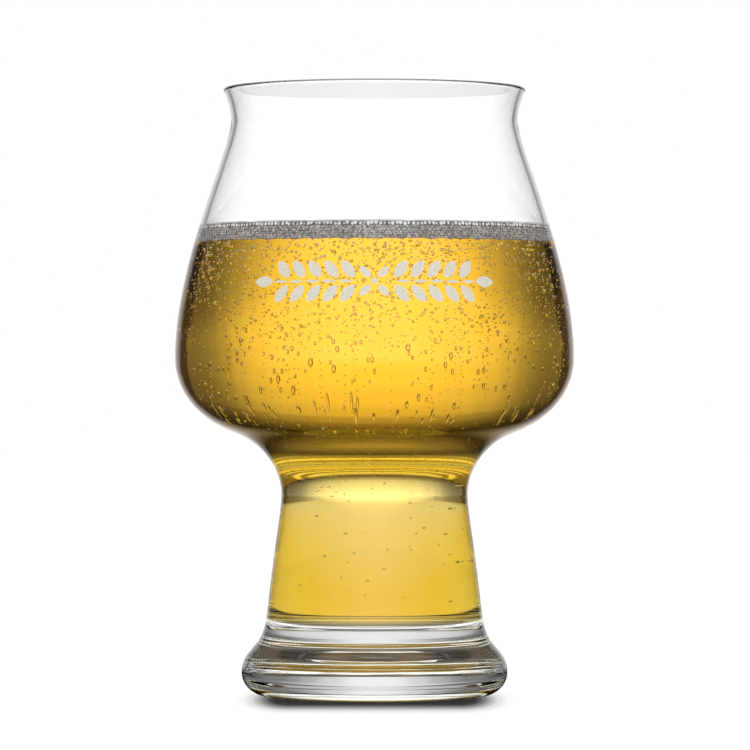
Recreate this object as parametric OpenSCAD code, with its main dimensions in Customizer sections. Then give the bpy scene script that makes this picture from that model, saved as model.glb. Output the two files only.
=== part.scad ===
// Cider glass with a drink in it: a wide bowl that narrows to a flared lip,
// standing on a hollow waisted stem and a thick solid foot.
// Millimetres, +Z up. The origin is the centre of the face that it rests on,
// and the print faces -Y.

/* [Lip and neck] */
// Height from the table to the top of the lip
glass_h = 145.6; // [140:0.1:160]
// Outside diameter of the lip
lip_d = 72.3; // [69:0.1:80]
// Lean of the lip from upright, in degrees
lip_lean = 30; // [10:1:40]
// Outside diameter of the neck, the narrowest place under the lip
neck_d = 68.6; // [60:0.1:70]
// How far the neck lies below the top of the lip
neck_drop = 7.7; // [6:0.1:14]
// Wall at the lip, which has a half round edge
lip_wall = 1.3; // [0.9:0.05:2]
// Wall at the neck
neck_wall = 1.3; // [0.9:0.05:2.5]

/* [Bowl] */
// Outside diameter at the belly, the widest place of the bowl
belly_d = 95.5; // [88:0.1:104]
// Height of the belly
belly_h = 80.8; // [76:0.1:90]
// Wall at the belly
belly_wall = 1.5; // [1:0.05:3]
// Outside diameter at the haunch, where the bowl's underside turns into the stem
haunch_d = 67; // [56:0.1:72]
// Height of the haunch
haunch_h = 63.2; // [58:0.1:68]
// Slope of the bowl's underside at the haunch, in degrees from level
haunch_rise = 19.5; // [8:0.5:30]
// Wall at the haunch
haunch_wall = 1.9; // [1.2:0.05:3]

/* [Stem] */
// Outside diameter at the throat, the narrowest place of the stem
throat_d = 44.5; // [38:0.1:50]
// Height of the throat
throat_h = 48.6; // [42:0.1:54]
// Wall at the throat
throat_wall = 2.3; // [1.5:0.05:4]
// Outside diameter at the bottom of the stem
stem_d = 51.6; // [46:0.1:58]
// Height of the bottom of the stem
stem_h = 19.6; // [15:0.1:24]
// Lean of the stem's side at its bottom, in degrees from upright
stem_lean = 6.2; // [2:0.1:15]
// Wall at the bottom of the stem
stem_wall = 2.6; // [1.8:0.05:6]

/* [Foot] */
// Largest diameter of the foot
foot_d = 63.7; // [56:0.1:76]
// Height of the foot's widest place
foot_h = 5.6; // [4:0.1:10]
// Outside diameter of the flat ring that it stands on
base_d = 50; // [40:0.1:54]
// Diameter of the shallow hollow under the foot
punt_d = 28.4; // [16:0.1:34]
// Depth of that hollow
punt_depth = 0.8; // [0.3:0.05:3]
// Height of the floor inside the stem, which is the depth of solid glass
floor_h = 16.6; // [10:0.1:22]
// Radius of the floor's corner
floor_round = 3.2; // [1.5:0.1:8]

/* [Drink] */
// Height of the cider's surface
fill_h = 108.4; // [96:0.1:124]
// Thickness of the foam at the wall
foam_t = 4.2; // [1.5:0.1:10]
// How far the foam climbs up the wall above its middle
foam_climb = 0.5; // [0.1:0.05:1.2]
// Width of the ring in which it climbs
climb_w = 4; // [2:0.1:10]

/* [Print] */
// Length of the sprig, measured round the bowl
print_l = 59; // [50:1:80]
// Height of the middle of the sprig
print_mid_h = 98.3; // [94:0.1:104]
// Thickness of the enamel
print_t = 0.12; // [0.08:0.01:0.3]
// Length of a leaf
leaf_l = 5; // [3:0.1:7]
// Width of a leaf
leaf_w = 2.5; // [1:0.1:3]
// Lean of a leaf from the sprig's line, in degrees
leaf_lean = 52; // [40:1:70]
// Pairs of leaves on each half of the sprig
leaf_pairs = 5; // [2:1:6]
// Width of the slim pieces along the sprig's line
vein_w = 0.7; // [0.4:0.05:1.2]
// Diameter of the berry in the middle of the sprig
berry_d = 1.6; // [0.6:0.05:2.4]
// Length of the four petals round the berry
petal_l = 3.4; // [2:0.1:4]
// Width of those petals
petal_w = 1.8; // [1:0.1:2.2]
// Bare gap between the pieces of the sprig
print_gap = 0.5; // [0.3:0.05:1]

/* [Hidden] */
$fn = 96;
// Points on each stretch of the outline, on a round corner and across the foam's ring
curve_steps = 10;
corner_steps = 8;
climb_steps = 6;

// Directions in the plane of radius and height
up = [0, 1];
function leaning(angle) = [sin(angle), cos(angle)];
function rising(angle) = [cos(angle), sin(angle)];
function inward(along) = [-along[1], along[0]];

// The lip's half round edge has its centre on the wall's middle line
lip_centre = [lip_d / 2 - lip_wall / 2, glass_h - lip_wall / 2];
lip_out = lip_centre - lip_wall / 2 * inward(leaning(lip_lean));

// Places that the wall passes, from the lip down: outside point, direction up the wall, thickness
stations = [
    [lip_out, leaning(lip_lean), lip_wall],
    [[neck_d / 2, glass_h - neck_drop], up, neck_wall],
    [[belly_d / 2, belly_h], up, belly_wall],
    [[haunch_d / 2, haunch_h], rising(haunch_rise), haunch_wall],
    [[throat_d / 2, throat_h], up, throat_wall],
    [[stem_d / 2, stem_h], leaning(-stem_lean), stem_wall]
];

// How long each stretch keeps the direction of its upper and its lower end, in shares of its chord
fullness = [[0.25, 0.28], [0.12, 0.40], [0.28, 0.47], [0.46, 0.24], [0.12, 0.58]];
foot_fullness = [0.62, 0.45];

// Curve from a to b that leaves a along -dir_a and comes down to b along -dir_b, without its last point
function stretch(a, dir_a, b, dir_b, share) = let (
    chord = norm(a - b),
    a_arm = a - dir_a * chord * share[0],
    b_arm = b + dir_b * chord * share[1]
) [for (i = [0 : curve_steps - 1]) let (t = i / curve_steps, s = 1 - t)
    s * s * s * a + 3 * s * s * t * a_arm + 3 * s * t * t * b_arm + t * t * t * b];

// The wall's line from the lip to the bottom of the stem, outside (side 0) or inside (side 1)
last_station = len(stations) - 1;
stem_in = [stem_d / 2 - stem_wall, floor_h + floor_round];
function wall_point(i, side) = side == 1 && i == last_station ? stem_in
    : stations[i][0] + side * stations[i][2] * inward(stations[i][1]);
function wall_line(side) = [for (i = [0 : last_station - 1])
    each stretch(wall_point(i, side), stations[i][1], wall_point(i + 1, side), stations[i + 1][1], fullness[i])];

// The outline outside, from the lip to the ring that it stands on
foot_side = [foot_d / 2, foot_h];
outside_line = concat(
    wall_line(0),
    stretch(stations[last_station][0], stations[last_station][1], foot_side, up, foot_fullness),
    [for (i = [0 : corner_steps]) let (a = 90 * i / corner_steps)
        [base_d / 2 + (foot_d - base_d) / 2 * cos(a), foot_h * (1 - sin(a))]]
);

// The hollow under the foot, a cap of a sphere
punt_r = (pow(punt_d / 2, 2) + pow(punt_depth, 2)) / (2 * punt_depth);
punt_line = [for (i = [0 : corner_steps]) let (r = punt_d / 2 * (1 - i / corner_steps))
    [r, punt_depth - punt_r + sqrt(punt_r * punt_r - r * r)]];

// The outline inside, from the lip to the middle of the floor
inside_line = concat(
    wall_line(1),
    [for (i = [0 : corner_steps]) let (a = 90 * i / corner_steps)
        [stem_in[0] - floor_round * (1 - cos(a)), stem_in[1] - floor_round * sin(a)]],
    [[0, floor_h]]
);

// The lip's round edge, from outside over the top to inside
lip_line = [for (i = [1 : corner_steps - 1]) let (a = 180 * i / corner_steps)
    lip_centre + lip_wall / 2 * (sin(a) * leaning(lip_lean) - cos(a) * inward(leaning(lip_lean)))];

function reversed(line) = [for (i = [len(line) - 1 : -1 : 0]) line[i]];

// The radius of a falling line at a height
function radius_at(line, h) = let (
    i = [for (k = [0 : len(line) - 2]) if (line[k][1] >= h && line[k + 1][1] < h) k][0],
    t = (line[i][1] - h) / (line[i][1] - line[i + 1][1])
) line[i][0] + t * (line[i + 1][0] - line[i][0]);

// The part of a falling line from one height down to another
function between(line, high, low) = concat(
    [[radius_at(line, high), high]],
    [for (p = line) if (p[1] < high && p[1] > low) p],
    [[radius_at(line, low), low]]
);

// All of a falling line below a height
function below(line, high) = concat(
    [[radius_at(line, high), high]],
    [for (p = line) if (p[1] < high) p]
);

foam_h = fill_h + foam_t;
foam_edge_r = radius_at(inside_line, foam_h);

// The sprig lies on the bowl along a level line at this radius
print_r = radius_at(outside_line, print_mid_h);
print_half_h = vein_w / 2 + print_gap + leaf_l * sin(leaf_lean) + leaf_w / 2;
print_band = between(outside_line, print_mid_h + print_half_h, print_mid_h - print_half_h);
print_depth = 6;
petal_reach = berry_d / 2 + print_gap + petal_l / 2;
rosette_r = berry_d / 2 + print_gap + petal_l;
leaf_pitch = (print_l / 2 - rosette_r - leaf_l) / leaf_pairs;

// Clear pressed glass in one piece: bowl, stem and foot
module glass() {
    color([0.86, 0.92, 0.93, 0.35])
    rotate_extrude()
    polygon(concat(
        reversed(lip_line), outside_line, punt_line, reversed(inside_line)
    ));
}

// The cider fills the hollow from its floor to the fill height
module cider() {
    color([0.96, 0.76, 0.16, 0.8])
    rotate_extrude()
    polygon(concat([[0, fill_h]], below(inside_line, fill_h)));
}

// Foam on the cider, drawn up a little where it meets the wall
module foam() {
    color([0.82, 0.80, 0.77])
    rotate_extrude()
    polygon(concat(
        [[0, fill_h]],
        [[0, foam_h - foam_climb]],
        [for (i = [0 : climb_steps - 1]) let (t = i / climb_steps)
            [foam_edge_r - climb_w * (1 - t), foam_h - foam_climb * (1 - t * t)]],
        between(inside_line, foam_h, fill_h)
    ));
}

// A leaf with two round sides and two points, lying along X
module leaf(length, width) {
    side_r = (length * length + width * width) / (4 * width);
    intersection() {
        translate([0, side_r - width / 2]) circle(side_r);
        translate([0, width / 2 - side_r]) circle(side_r);
    }
}

// A bar through the bowl's front wall with the outline of its children,
// turned to face outwards at a distance along the sprig and a height above its line
module on_bowl(along, above) {
    rotate([0, 0, along / print_r * 180 / PI])
    translate([0, print_depth / 2 - print_r, print_mid_h + above])
    rotate([90, 0, 0])
    linear_extrude(print_depth) children();
}

// One half of the sprig, on the right (side 1) or on the left (side -1)
module half_sprig(side) {
    leaf_reach = leaf_l / 2;
    for (i = [0 : leaf_pairs - 1]) {
        start = rosette_r + i * leaf_pitch;
        on_bowl(side * (start + leaf_pitch / 2), 0)
            leaf(leaf_pitch - print_gap, vein_w);
        for (half = [-1, 1])
            on_bowl(
                side * (start + leaf_reach * cos(leaf_lean)),
                half * (vein_w / 2 + print_gap + leaf_reach * sin(leaf_lean))
            ) rotate(half * side * leaf_lean) leaf(leaf_l, leaf_w);
    }
    on_bowl(side * (print_l / 2 - leaf_reach), 0) leaf(leaf_l, leaf_w);
}

// The middle of the sprig: a berry with four petals round it
module rosette() {
    on_bowl(0, 0) circle(d = berry_d);
    for (turn = [0 : 90 : 270])
        on_bowl(petal_reach * cos(turn + 45), petal_reach * sin(turn + 45))
            rotate(turn + 45) leaf(petal_l, petal_w);
}

// Pale enamel printed on the front of the bowl: a sprig of leaves
module front_print() {
    color([0.88, 0.85, 0.74])
    intersection() {
        rotate_extrude()
        polygon(concat(
            print_band,
            reversed([for (p = print_band) [p[0] + print_t, p[1]]])
        ));
        union() {
            rosette();
            for (side = [-1, 1]) half_sprig(side);
        }
    }
}

glass();
cider();
foam();
front_print();
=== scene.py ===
"""Cider glass with its drink, dressed and lit for a studio picture.

The glass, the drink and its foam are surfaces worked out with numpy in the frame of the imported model:
metres, +Z up, the origin at the centre of the ring that the glass stands on and the printed front towards
-Y. The print keeps its mesh from the model.
"""
import math

import bpy
import numpy as np
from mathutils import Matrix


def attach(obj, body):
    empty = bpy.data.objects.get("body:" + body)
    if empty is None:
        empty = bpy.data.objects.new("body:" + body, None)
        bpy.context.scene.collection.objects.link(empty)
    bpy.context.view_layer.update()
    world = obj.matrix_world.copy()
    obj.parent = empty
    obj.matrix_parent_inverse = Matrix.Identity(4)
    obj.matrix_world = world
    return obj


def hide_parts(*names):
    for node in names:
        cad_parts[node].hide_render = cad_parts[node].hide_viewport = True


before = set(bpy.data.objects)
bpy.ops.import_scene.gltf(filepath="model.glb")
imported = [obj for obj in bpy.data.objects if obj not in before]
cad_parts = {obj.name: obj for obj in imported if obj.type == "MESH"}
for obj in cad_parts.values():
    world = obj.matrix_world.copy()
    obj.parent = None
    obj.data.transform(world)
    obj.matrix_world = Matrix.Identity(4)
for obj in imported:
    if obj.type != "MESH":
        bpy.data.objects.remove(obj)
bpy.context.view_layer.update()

MM = 0.001
TAU = 2 * math.pi
rng = np.random.default_rng(20)

# Sizes of the glass, in millimetres as in its drawing
GLASS_H, LIP_D, LIP_LEAN, LIP_WALL = 145.6, 72.3, 30.0, 1.3
NECK_D, NECK_DROP, NECK_WALL = 68.6, 7.7, 1.3
BELLY_D, BELLY_H, BELLY_WALL = 95.5, 80.8, 1.5
HAUNCH_D, HAUNCH_H, HAUNCH_RISE, HAUNCH_WALL = 67.0, 63.2, 19.5, 1.9
THROAT_D, THROAT_H, THROAT_WALL = 44.5, 48.6, 2.3
STEM_D, STEM_H, STEM_LEAN, STEM_WALL = 51.6, 19.6, 6.2, 2.6
FOOT_D, FOOT_H, BASE_D = 63.7, 5.6, 50.0
PUNT_D, PUNT_DEPTH = 28.4, 0.8
FLOOR_H, FLOOR_ROUND = 16.6, 3.2
# How long each stretch of wall, from the lip down, keeps the direction of its ends, in shares of its chord
FULLNESS = [(0.25, 0.28), (0.12, 0.40), (0.28, 0.47), (0.46, 0.24), (0.12, 0.58)]
FOOT_FULLNESS = (0.62, 0.45)
# The drink: its level, the thickness of its foam, and how high and over which width the foam climbs the wall
FILL_H, FOAM_T, FOAM_CLIMB, CLIMB_W = 108.4, 4.2, 0.5, 4.0
FOAM_H = FILL_H + FOAM_T

# How finely surfaces are drawn: points round the axis, steps along an outline, how far its corners are
# softened outside and inside, and how near two points are one
TURNS, FINE_STEP = 224, 0.2
SOFT_OUTSIDE, SOFT_INSIDE, SAME_POINT = 1.0, 0.6, 1e-6
# Points along the outlines of the dry glass, the wet glass and the drink. A bend of some degrees has as many
# of them as a straight stretch of some millimetres
DRY_POINTS, WET_POINTS, DRINK_POINTS = 255, 110, 90
BEND_STEP, STRAIGHT_STEP = 5.0, 1.6

# How light bends in glass and in cider, from air
GLASS_IOR, CIDER_IOR = 1.5, 1.345
# Tint and density: exp(-density * (1 - tint) * metres) of a colour is left. Cider takes out blue, then green
GLASS_TINT, GLASS_DENSITY = (0.93, 0.985, 0.97), 5.0
CIDER_TINT, CIDER_DENSITY = (0.994, 0.81, 0.02), 40.0
# Moulding marks in the glass: their depth, and how many there are in a metre along each axis
STREAK_DEPTH, STREAK_SCALE = 0.012, (60, 60, 700)
RIPPLE_DEPTH, RIPPLE_SCALE = 0.02, (90, 90, 60)
# The print's grain in a metre along each axis, its colours by the grain, and how rough it is
ENAMEL_GRAIN, ENAMEL_ROUGHNESS = (2500, 2500, 2500), 0.45
ENAMEL_TONES = [(0.35, (0.72, 0.68, 0.55)), (0.65, (0.86, 0.83, 0.73))]
# How far the drink reaches into the glass, so that no film of air lies between them, and the share of the
# radius of its surface where the inner ring of points lies
WETTING, SURFACE_RING = 0.06, 0.6

# Bubbles: how far their radii spread, the least and the most as shares of the middle one, the film of drink
# between the wall and one that clings, how far loose ones keep off the wall, and the least distance of two,
# in sums of their radii
SIZE_SPREAD, SIZE_LEAST, SIZE_MOST = 0.38, 0.45, 1.7
WALL_FILM, OFF_WALL, APART = 0.08, 0.4, 1.04
# Angles round the axis that face the front, where the larger bubbles cling
FRONT = (1.10 * math.pi, 1.90 * math.pi)
# Groups: how many, middle radius, the heights that they lie between, and the power by which more lie higher
BUBBLE_TOP = FILL_H - 0.9
BELLY_LARGE = 80, 0.38, HAUNCH_H + 8, BELLY_H + 6, 0.0
FRONT_WALL = 1100, 0.26, BELLY_H, BUBBLE_TOP, 0.7
WHOLE_WALL = 1500, 0.21, HAUNCH_H + 4, BUBBLE_TOP, 1.1
LOOSE = 2400, 0.20, BELLY_H - 8, BUBBLE_TOP, 1.6
BELLY_SMALL = 110, 0.25, HAUNCH_H + 2, BELLY_H + 6, 0.0
THROAT_FINE = 1000, 0.13, THROAT_H, HAUNCH_H + 4, 0.0
STEM_FEW = 120, 0.16, FLOOR_H + 1, THROAT_H, 0.0
# Two of the groups thin out in patches: the share that goes, and the waves that take it, each by how far a
# radian of it reaches along x, y and z and by its start
CLUMP_SHARE = 0.30
CLUMP_WAVES = [
    ((5.1, math.inf, math.inf), 1.3),
    ((math.inf, 4.3, 7.7), 0.0),
    ((-6.3, math.inf, 3.9), 2.1),
]
# How far behind the axis these two groups end, and up to which height
CLEAR_BEHIND, CLEAR_H = 20.0, 95.0
# Bubbles above a size are taller than wide between two heights, most of all at the lower one
TALL_SIZE, TALL_LOW, TALL_HIGH, TALL_MOST = 0.26, 70.0, 88.0, 2.8
# Bubbles drawn out low in the bowl: how many, their middle radius and its spread, their half lengths in
# radii, the heights of their lower tips and how far they lean out in degrees
DRAWN_COUNT, DRAWN_SIZE, DRAWN_SPREAD, DRAWN_LENGTHS = 46, 0.34, 0.25, (2.0, 8.0)
DRAWN_LOW, DRAWN_HIGH, DRAWN_LEAN = 65.8, 68.8, 22.0
# Balls along each of them that keep other bubbles off, and the share of its half length that they reach to
GUARDS, GUARD_REACH = 9, 0.9
# Trains: how many, the bubbles in each, their radius, the heights that they start between, the first gap and
# how it grows with each bubble, their sizes and the share of these at the start
STREAMS, STREAM_BEADS, STREAM_SIZE = 26, 18, 0.27
STREAM_LOW, STREAM_HIGH = 62.0, BELLY_H - 4
STREAM_GAPS, STREAM_GROWTH, STREAM_SIZES, STREAM_START = (0.9, 1.6), 0.05, (0.7, 1.3), 0.5
# How far in from the wall they start, how they waver in and out and round the axis, how far below the
# drink's level they end and how far they keep off the wall
STREAM_INSET, STREAM_WAVER, STREAM_SWAY, STREAM_END, STREAM_CLEAR = 1.2, 0.12, 0.003, 1.0, 0.3
# Sides and bands of a bubble's surface, up to a radius, and of one at the foam's edge
BALLS = [(0.15, (6, 2)), (0.32, (6, 3)), (math.inf, (8, 4))]
EDGE_BALL = (8, 4)

# Foam: points round its top and, for each of them, round its side; rows down its side and across its top
FOAM_TURNS, FOAM_SPLIT, SIDE_ROWS, TOP_ROWS = 400, 5, 32, 64
# Width and depth of its cells, how far they stray from even rows, how far one reaches in widths, the pitch
# of the rows in widths, and how far the foam reaches into the glass
SIDE_CELL, SIDE_DEPTH, TOP_CELL, TOP_DEPTH = 0.68, 0.08, 3.6, 0.30
STRAY, TOP_STRAY, CELL_REACH, ROW_PITCH, FOAM_GRIP = 0.16, 0.42, 0.62, 0.87, 0.14
# Its side: how far it starts below the drink's level and ends below the foam's top, the waves of its lower
# edge by height, number and start, and the dips of its upper edge by depth, by the level above which two
# waves make one, and by number and start of these
LOW_LAP, HIGH_DROP = 0.25, 0.06
LOW_WAVES = [(0.12, 41, 0.0), (0.10, 67, 1.0), (0.08, 113, 2.0)]
RIM_DIP, DIP_LEVEL, DIP_WAVES = 0.35, 0.5, [(9, 1.0), (23, 2.0)]
# Plain rim along the top of its side and its height as a cell. Below it a row of pearls: their width, the
# height where their painted highlight begins, by how much that differs, and how soft it is
RIM_T, RIM_DOME = 0.45, 0.8
PEARL_CELL, PEARL_EDGE, PEARL_UNLIKE, PEARL_SOFT = 0.95, 0.45, 0.35, 0.2
# Greys of its films (painted shade), its cells from dullest to brightest (a painted highlight in their
# middles), its rim, and the pearls' painted highlights and the painted shade round them
FILM_SHADE, CELL_GREYS, RIM_GREY, PEARL_HIGHLIGHT, PEARL_SHADE = 0.13, (0.60, 1.15), 1.20, 2.00, 0.24
# Height of a cell where the painted shade of its film ends, and over which it brightens to a painted
# highlight
FILM_EDGE, FILM_SOFT = 0.25, 0.5
# Tint of the greys, what brown takes from it, and how brown the side is: most, start and fall upwards
FOAM_TINT, BROWN_LOSS = np.array([1.0, 0.97, 0.965]), np.array([0.12, 0.26, 0.36])
BROWNS = [(0.25, 1.4, 3.0), (0.9, 1.0, 14.0)]
# Clouds over it in a metre along each axis, their tones, and how rough it is
FOAM_CLOUDS, FOAM_TONES, FOAM_ROUGHNESS = (260, 260, 260), [(0.3, 0.82), (0.7, 1.0)], 0.25
# Top: how far from the wall it begins, the power by which its rings crowd to the edge, how far it lies below
# the side's top, its greys from the hollows, darkened by painted shade, to the swells, and the widths of its
# large and small cells
TOP_INSET, TOP_CROWDING, TOP_DROP = 0.5, 0.8, 0.4
TOP_GREYS, TOP_FILMS = (0.82, 1.05), (1.3, 0.6)
# How dark the painted shade on its films is and how far its cells swell, both by the distance from the middle
# of a film in cells, and how much the small cells count in each
FILM_STOPS, SMALL_FILMS = [(0.0, 0.50), (0.05, 0.66), (0.20, 1.0)], 0.5
SWELL_STOPS, SMALL_SWELLS, SWELL = [(0.0, 0.0), (0.12, 0.62), (0.40, 1.0)], 0.35, 0.22
# Bubbles along its upper edge: how many, their middle radius and its spread, the least and the most, how far
# they stray along the row in gaps, how far they lie below the top at least and how unevenly, and how far
# from the wall
EDGE_COUNT, EDGE_SIZE, EDGE_SPREAD, EDGE_SIZES = 230, 0.46, 0.22, (0.28, 0.7)
EDGE_STRAY, EDGE_DROP, EDGE_UNEVEN, EDGE_INSET = 0.3, 0.45, 0.2, 0.8
# The direction of their painted highlight, out and up, and how bright it is by its squared share, less a
# little
EDGE_OUT, EDGE_UP, EDGE_HIGHLIGHT, EDGE_LESS = 0.6, 0.8, 1.3, 0.1
# Underside: its share of the side's radius, how far it lies below the drink's level, its grey, and the
# painted glow that stands in for the light that comes down through it
UNDER_SHARE, UNDER_LAP = 0.99, 0.2
UNDER_GREY, UNDER_PAINTED_GLOW = (0.25, 0.25, 0.25, 1), (1.10, 1.40, 2.00, 1)
# That painted glow by the share of its radius, and from the front of it (0) to the back (1). The front is
# dimmer from one share of the radius on
UNDER_STOPS = [
    (0.0, 0.5), (0.55, 0.6), (0.72, 0.95), (0.78, 0.22), (0.84, 0.22), (0.87, 1.0), (0.93, 1.0), (0.97, 0.35),
]
UNDER_BACK = [(0.45, 0.15), (0.70, 1.0)]
UNDER_FRONT = [(0.55, 0.0), (0.72, 1.0)]
UNDER_CLOUDS, UNDER_TONES = (500, 500, 500), [(0.3, 0.93), (0.7, 1.0)]


# The outline of the glass

UP = np.array([0.0, 1.0])


def leaning(angle):
    """Direction that leans out from upright by an angle in degrees."""
    return np.array([math.sin(math.radians(angle)), math.cos(math.radians(angle))])


def rising(angle):
    """Direction that rises from level by an angle in degrees."""
    return np.array([math.cos(math.radians(angle)), math.sin(math.radians(angle))])


def inward(along):
    """A quarter turn from a direction up the wall to the one through the wall."""
    return np.array([-along[1], along[0]])


LIP_CENTRE = np.array([LIP_D - LIP_WALL, 2 * GLASS_H - LIP_WALL]) / 2
LIP_OUT = LIP_CENTRE - LIP_WALL / 2 * inward(leaning(LIP_LEAN))
STATIONS = [
    (LIP_OUT, leaning(LIP_LEAN), LIP_WALL),
    (np.array([NECK_D / 2, GLASS_H - NECK_DROP]), UP, NECK_WALL),
    (np.array([BELLY_D / 2, BELLY_H]), UP, BELLY_WALL),
    (np.array([HAUNCH_D / 2, HAUNCH_H]), rising(HAUNCH_RISE), HAUNCH_WALL),
    (np.array([THROAT_D / 2, THROAT_H]), UP, THROAT_WALL),
    (np.array([STEM_D / 2, STEM_H]), leaning(-STEM_LEAN), STEM_WALL),
]
STEM_IN = np.array([STEM_D / 2 - STEM_WALL, FLOOR_H + FLOOR_ROUND])


def stretch(a, dir_a, b, dir_b, share, steps=60):
    """Cubic curve from a down to b whose arms are shares of the chord along the two end directions."""
    chord = np.linalg.norm(a - b)
    a_arm, b_arm = a - dir_a * chord * share[0], b + dir_b * chord * share[1]
    t = np.linspace(0, 1, steps)[:, None]
    s = 1 - t
    return s**3 * a + 3 * s * s * t * a_arm + 3 * s * t * t * b_arm + t**3 * b


def wall_line(side):
    """The wall from the lip to the bottom of the stem, outside (side 0) or inside (side 1)."""
    points = [p + side * wall * inward(along) for p, along, wall in STATIONS]
    if side:
        points[-1] = STEM_IN
    ways = [along for _, along, _ in STATIONS]
    return np.vstack([
        stretch(points[i], ways[i], points[i + 1], ways[i + 1], FULLNESS[i])
        for i in range(len(points) - 1)
    ])


def quarter(steps=24):
    """Cosine and sine over a quarter turn."""
    a = np.linspace(0, math.pi / 2, steps)
    return np.cos(a), np.sin(a)


def outside_line():
    """From the lip down the outside and round the foot's corner to the ring that it stands on."""
    c, s = quarter()
    foot_side = np.array([FOOT_D / 2, FOOT_H])
    corner = np.column_stack([BASE_D / 2 + (FOOT_D - BASE_D) / 2 * c, FOOT_H * (1 - s)])
    foot = stretch(STATIONS[-1][0], STATIONS[-1][1], foot_side, UP, FOOT_FULLNESS)
    return np.vstack([wall_line(0), foot, corner])


def inside_line():
    """From the lip down the inside and round the floor's corner to the middle of the floor."""
    c, s = quarter()
    corner = np.column_stack([STEM_IN[0] - FLOOR_ROUND * (1 - c), STEM_IN[1] - FLOOR_ROUND * s])
    return np.vstack([wall_line(1), corner, [[0, FLOOR_H]]])


def lip_line(steps=24):
    """Half circle over the lip, from the inside to the outside."""
    a = np.linspace(math.pi, 0, steps)[:, None]
    along = leaning(LIP_LEAN)
    return LIP_CENTRE + LIP_WALL / 2 * (np.sin(a) * along - np.cos(a) * inward(along))


def punt_line(steps=30):
    """The cap of a sphere under the foot, from its middle to its edge."""
    r = np.linspace(0, PUNT_D / 2, steps)
    sphere = ((PUNT_D / 2) ** 2 + PUNT_DEPTH**2) / (2 * PUNT_DEPTH)
    return np.column_stack([r, PUNT_DEPTH - sphere + np.sqrt(sphere**2 - r**2)])


def joined(*lines):
    """Lines set end to end, without the points that repeat."""
    line = np.vstack(lines)
    return line[np.append(True, np.linalg.norm(np.diff(line, axis=0), axis=1) > SAME_POINT)]


def even(line):
    """The same line with points at even distances along it."""
    line = joined(line)
    run = np.append(0, np.cumsum(np.linalg.norm(np.diff(line, axis=0), axis=1)))
    at = np.linspace(0, run[-1], int(run[-1] / FINE_STEP) + 2)
    return np.column_stack([np.interp(at, run, line[:, k]) for k in (0, 1)])


def softened(line, reach):
    """An evenly spaced line averaged with a bell of a given reach; its ends stay where they are."""
    half = int(4 * reach / FINE_STEP)
    bell = np.exp(-0.5 * (np.arange(-half, half + 1) * FINE_STEP / reach) ** 2)
    head = 2 * line[0] - line[half:0:-1]
    tail = 2 * line[-1] - line[-2:-half - 2:-1]
    long = np.vstack([head, line, tail])
    return np.column_stack([np.convolve(long[:, k], bell / bell.sum(), mode="valid") for k in (0, 1)])


def thinned(line, count):
    """As many points of a fine line as asked for, closer together where it bends."""
    step = np.diff(line, axis=0)
    length = np.linalg.norm(step, axis=1)
    heading = np.unwrap(np.arctan2(step[:, 1], step[:, 0]))
    bend = np.append(0, np.abs(np.diff(heading)))
    effort = np.append(0, np.cumsum(length / STRAIGHT_STEP + bend / math.radians(BEND_STEP)))
    at = np.linspace(0, effort[-1], count)
    return np.column_stack([np.interp(at, effort, line[:, k]) for k in (0, 1)])


OUTSIDE = softened(even(outside_line()), SOFT_OUTSIDE)
INSIDE = softened(even(inside_line()), SOFT_INSIDE)


def inside_radius(z):
    """Radius of the inner wall at a height."""
    return np.interp(z, INSIDE[::-1, 1], INSIDE[::-1, 0])


def pushed(line, distance):
    """A falling line moved sideways to its outer side, the side of greater radius."""
    way = np.gradient(line, axis=0)
    way /= np.linalg.norm(way, axis=1)[:, None]
    return line + distance * np.column_stack([-way[:, 1], way[:, 0]])


def below(line, high, low=-1.0):
    """The part of a falling line between two heights, with points at both or at its own lower end."""
    def at(h):
        return [[np.interp(-h, -line[:, 1], line[:, 0]), h]]
    parts = [at(high), line[(line[:, 1] < high) & (line[:, 1] > low)]]
    if low > line[-1, 1]:
        parts.append(at(low))
    return np.vstack(parts)


# Meshes

def add_piece(name, verts, faces, materials, node, finish):
    """A smooth mesh piece in metres that rides on the body and stands for a node of the model. Its faces are
    a list of arrays, and each face takes the material that finish numbers."""
    mesh = bpy.data.meshes.new(name)
    mesh.from_pydata(verts.tolist(), [], sum((part.tolist() for part in faces), []))
    mesh.polygons.foreach_set("use_smooth", np.ones(len(mesh.polygons), dtype=bool))
    for material in materials:
        mesh.materials.append(material)
    mesh.polygons.foreach_set("material_index", finish.astype(np.int32))
    mesh.update()
    piece = bpy.data.objects.new(name, mesh)
    bpy.context.scene.collection.objects.link(piece)
    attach(piece, "root")
    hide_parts(node)
    return piece


def ring_quads(rows, turns):
    """Quads between successive rings of points."""
    i, j = np.meshgrid(np.arange(rows - 1), np.arange(turns), indexing="ij")
    nxt = (j + 1) % turns
    corners = [i * turns + j, i * turns + nxt, (i + 1) * turns + nxt, (i + 1) * turns + j]
    return np.stack(corners, axis=2).reshape(-1, 4)


def revolved(line, turns=TURNS):
    """A line from the axis back to the axis, carried round it: the point at radius r and angle a is
    (r cos a, r sin a, height). Both ends are single points with a fan of triangles. The faces come as the
    quads from the first ring on, the first fan and the last fan."""
    a = np.arange(turns) * TAU / turns
    r, z = line[1:-1, 0, None], line[1:-1, 1, None]
    ring = np.stack([r * np.cos(a), r * np.sin(a), z + 0 * a], axis=2).reshape(-1, 3)
    verts = np.vstack([ring, [0, 0, line[0, 1]], [0, 0, line[-1, 1]]])
    rows, j = len(line) - 2, np.arange(turns)
    nxt, top = (j + 1) % turns, (rows - 1) * turns
    first_fan = np.column_stack([nxt, j, np.full(turns, len(ring))])
    last_fan = np.column_stack([top + j, top + nxt, np.full(turns, len(ring) + 1)])
    return verts, [ring_quads(rows, turns), first_fan, last_fan]


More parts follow.
